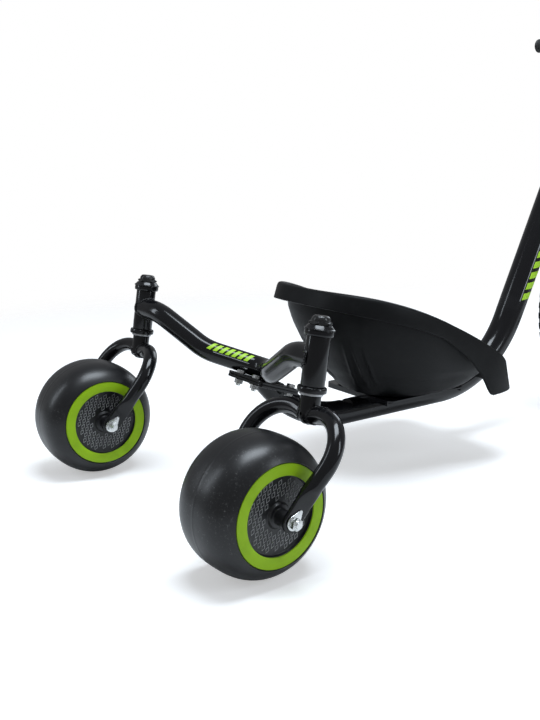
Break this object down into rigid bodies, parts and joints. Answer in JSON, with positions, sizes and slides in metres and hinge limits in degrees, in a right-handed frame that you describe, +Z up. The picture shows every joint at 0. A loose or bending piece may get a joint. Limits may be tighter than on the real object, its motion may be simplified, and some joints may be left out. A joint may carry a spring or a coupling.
{
  "type": "drift trike",
  "caption": "Low-slung drift trike: bucket seat on a bent black frame, large pedalled front wheel, hard slick rear wheels in free-swivelling caster forks with lime trim.",
  "frame": {"origin": "on the ground, midway between the hindmost and foremost points and between the two sides", "axes": "+X points the way the trike rides, +Y to the rider's left, +Z up"},
  "size_m": [1.5777, 0.7418, 0.8521],
  "materials": {
    "black_paint": "gloss",
    "seat_plastic": "satin, finely grained",
    "wheel_plastic": "satin, lightly scuffed",
    "cap_plastic": "semi-gloss",
    "lime_trim": "semi-gloss",
    "zinc": "zinc plated",
    "steel": "bright turned",
    "tyre_rubber": "matt",
    "grip_rubber": "matt",
    "pedal_plastic": "matt"
  },
  "bodies": {
    "frame": {"main_frame": "black_paint", "crossbar": "black_paint", "crossbar_bolt_1": "zinc", "crossbar_bolt_2": "zinc", "crossbar_bolt_3": "zinc", "crossbar_bolt_4": "zinc", "seat_bracket": "black_paint", "seat_shell": "seat_plastic", "seat_bolt_1": "zinc", "seat_bolt_2": "zinc", "seat_bolt_3": "zinc", "seat_bolt_4": "zinc", "front_upper_cup": "black_paint", "front_lower_cup": "black_paint", "caster_upper_cup_left": "black_paint", "caster_lower_cup_left": "black_paint", "caster_upper_cup_right": "black_paint", "caster_lower_cup_right": "black_paint"},
    "left_caster": {"caster_fork_left": "black_paint", "caster_cone_left": "black_paint", "caster_lock_cap_left": "cap_plastic", "caster_crown_race_left": "steel", "rear_axle_bolt_left": "zinc", "rear_axle_washer_left": "zinc", "rear_axle_nut_left": "zinc"},
    "left_rear_wheel": {"rear_wheel_left": "wheel_plastic", "rear_ring_outer_left": "lime_trim", "rear_ring_inner_left": "lime_trim"},
    "right_caster": {"caster_fork_right": "black_paint", "caster_cone_right": "black_paint", "caster_lock_cap_right": "cap_plastic", "caster_crown_race_right": "steel", "rear_axle_bolt_right": "zinc", "rear_axle_washer_right": "zinc", "rear_axle_nut_right": "zinc"},
    "right_rear_wheel": {"rear_wheel_right": "wheel_plastic", "rear_ring_outer_right": "lime_trim", "rear_ring_inner_right": "lime_trim"},
    "steering": {"front_fork": "black_paint", "front_bearing_left": "steel", "front_bearing_right": "steel", "front_cone": "black_paint", "front_crown_race": "steel", "front_lock_nut": "zinc", "stem": "black_paint", "handlebar": "black_paint", "grip_left": "grip_rubber", "grip_right": "grip_rubber"},
    "front_wheel": {"front_wheel_centre": "wheel_plastic", "front_rim": "black_paint", "front_tyre": "tyre_rubber", "crank_axle": "steel", "crank_left": "black_paint", "crank_right": "black_paint", "pedal_spindle_left": "steel", "pedal_spindle_right": "steel"},
    "left_pedal": {"pedal_left": "pedal_plastic"},
    "right_pedal": {"pedal_right": "pedal_plastic"}
  },
  "joints": [
    {"name": "left_caster_swivel", "type": "hinge", "parent": "frame", "child": "left_caster", "pos_m": [-0.57734, 0.2645, 0.25936], "axis": [0.1547, 0, 0.988], "continuous": true},
    {"name": "left_rear_wheel_spin", "type": "hinge", "parent": "left_caster", "child": "left_rear_wheel", "pos_m": [-0.68389, 0.26876, 0.10498], "axis": [0.0517, 0.9986, -0.0081], "continuous": true},
    {"name": "right_caster_swivel", "type": "hinge", "parent": "frame", "child": "right_caster", "pos_m": [-0.57734, -0.2645, 0.25936], "axis": [0.1547, 0, 0.988], "continuous": true},
    {"name": "right_rear_wheel_spin", "type": "hinge", "parent": "right_caster", "child": "right_rear_wheel", "pos_m": [-0.68389, -0.26876, 0.10498], "axis": [-0.0517, 0.9986, 0.0081], "continuous": true},
    {"name": "steering_turn", "type": "hinge", "parent": "frame", "child": "steering", "pos_m": [0.50566, 0, 0.24776], "axis": [-0.2079, 0, 0.9781], "range_deg": [-45, 45]},
    {"name": "front_wheel_spin", "type": "hinge", "parent": "steering", "child": "front_wheel", "pos_m": [0.535, 0, 0.254], "axis": [0, 1, 0], "continuous": true},
    {"name": "left_pedal_spin", "type": "hinge", "parent": "front_wheel", "child": "left_pedal", "pos_m": [0.535, 0.142, 0.381], "axis": [0, 1, 0], "continuous": true},
    {"name": "right_pedal_spin", "type": "hinge", "parent": "front_wheel", "child": "right_pedal", "pos_m": [0.535, -0.142, 0.127], "axis": [0, 1, 0], "continuous": true}
  ]
}
